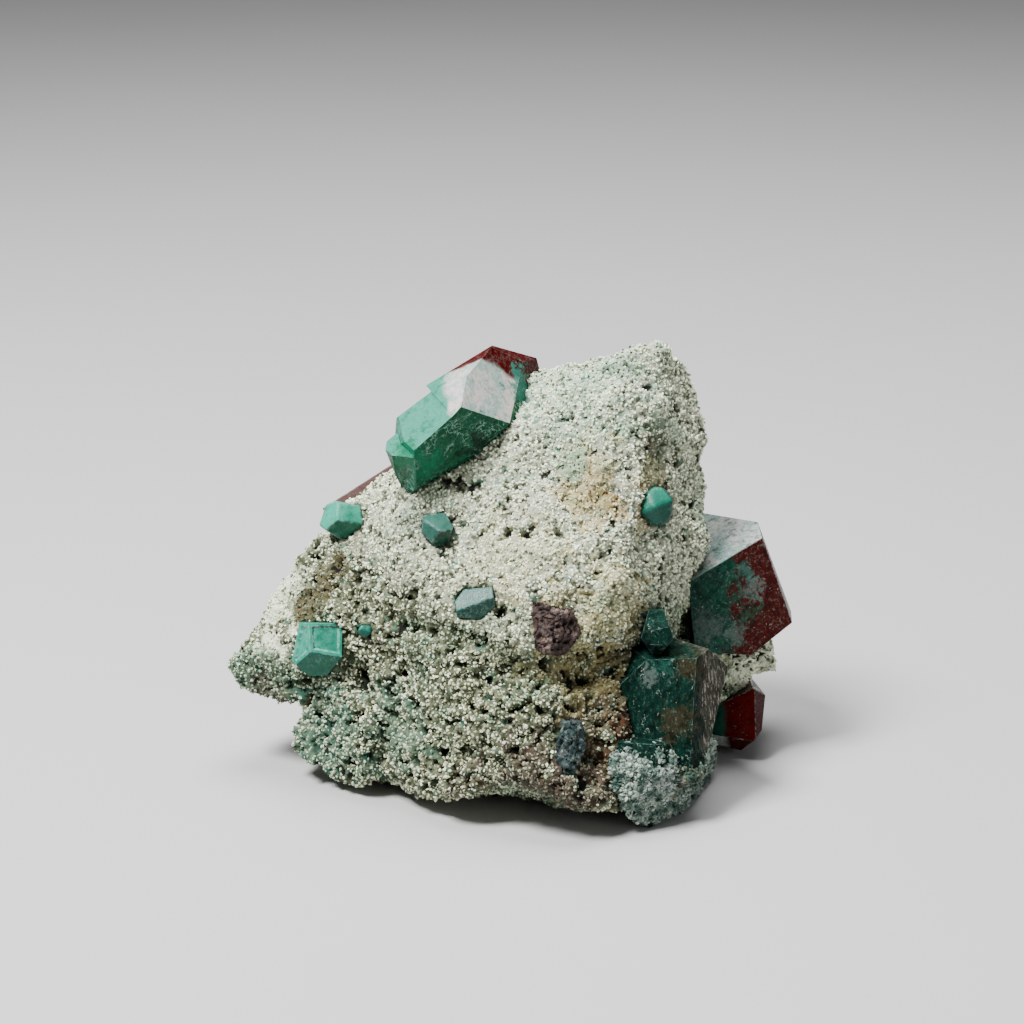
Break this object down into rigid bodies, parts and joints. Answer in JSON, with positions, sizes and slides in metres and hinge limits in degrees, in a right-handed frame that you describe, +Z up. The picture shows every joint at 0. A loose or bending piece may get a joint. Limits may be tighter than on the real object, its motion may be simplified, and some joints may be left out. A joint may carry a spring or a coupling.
{
  "type": "mineral specimen",
  "caption": "Apophyllite specimen: faceted green crystals with rusty red ends, set on a pitted lump of pale granular rock that stands on a flat break.",
  "frame": {"origin": "on the flat break that the rock rests on, below the middle of the rock", "axes": "+Z up, -Y the side with the most crystals, +X towards the large crystals at the right"},
  "size_m": [0.0727, 0.0478, 0.0546],
  "materials": {
    "matrix": "rough, granular",
    "crown_crystal": "glossy, translucent green, frosted pink-grey and red end",
    "corner_crystal": "satin, green to dark red, grey top",
    "flank_crystal": "satin dark green, grey striated side, pale broken foot",
    "red_crystal": "glossy dark red, pale lower face",
    "horn_crystal": "glossy, translucent green",
    "ledge_crystal": "glossy, translucent green",
    "slope_crystal": "glossy, translucent green",
    "round_crystal": "satin green",
    "bead_crystal": "glossy green",
    "shard_crystal": "glossy green",
    "back_crystal": "satin, dark red-brown",
    "plum_fragment": "rough, mauve-brown",
    "slate_chip": "satin, blue-grey"
  },
  "bodies": {
    "root": {"matrix": "matrix", "crown_crystal": "crown_crystal", "corner_crystal": "corner_crystal", "flank_crystal": "flank_crystal", "red_crystal": "red_crystal", "horn_crystal": "horn_crystal", "ledge_crystal": "ledge_crystal", "slope_crystal": "slope_crystal", "round_crystal": "round_crystal", "bead_crystal": "bead_crystal", "shard_crystal": "shard_crystal", "back_crystal": "back_crystal", "plum_fragment": "plum_fragment", "slate_chip": "slate_chip"}
  },
  "joints": []
}
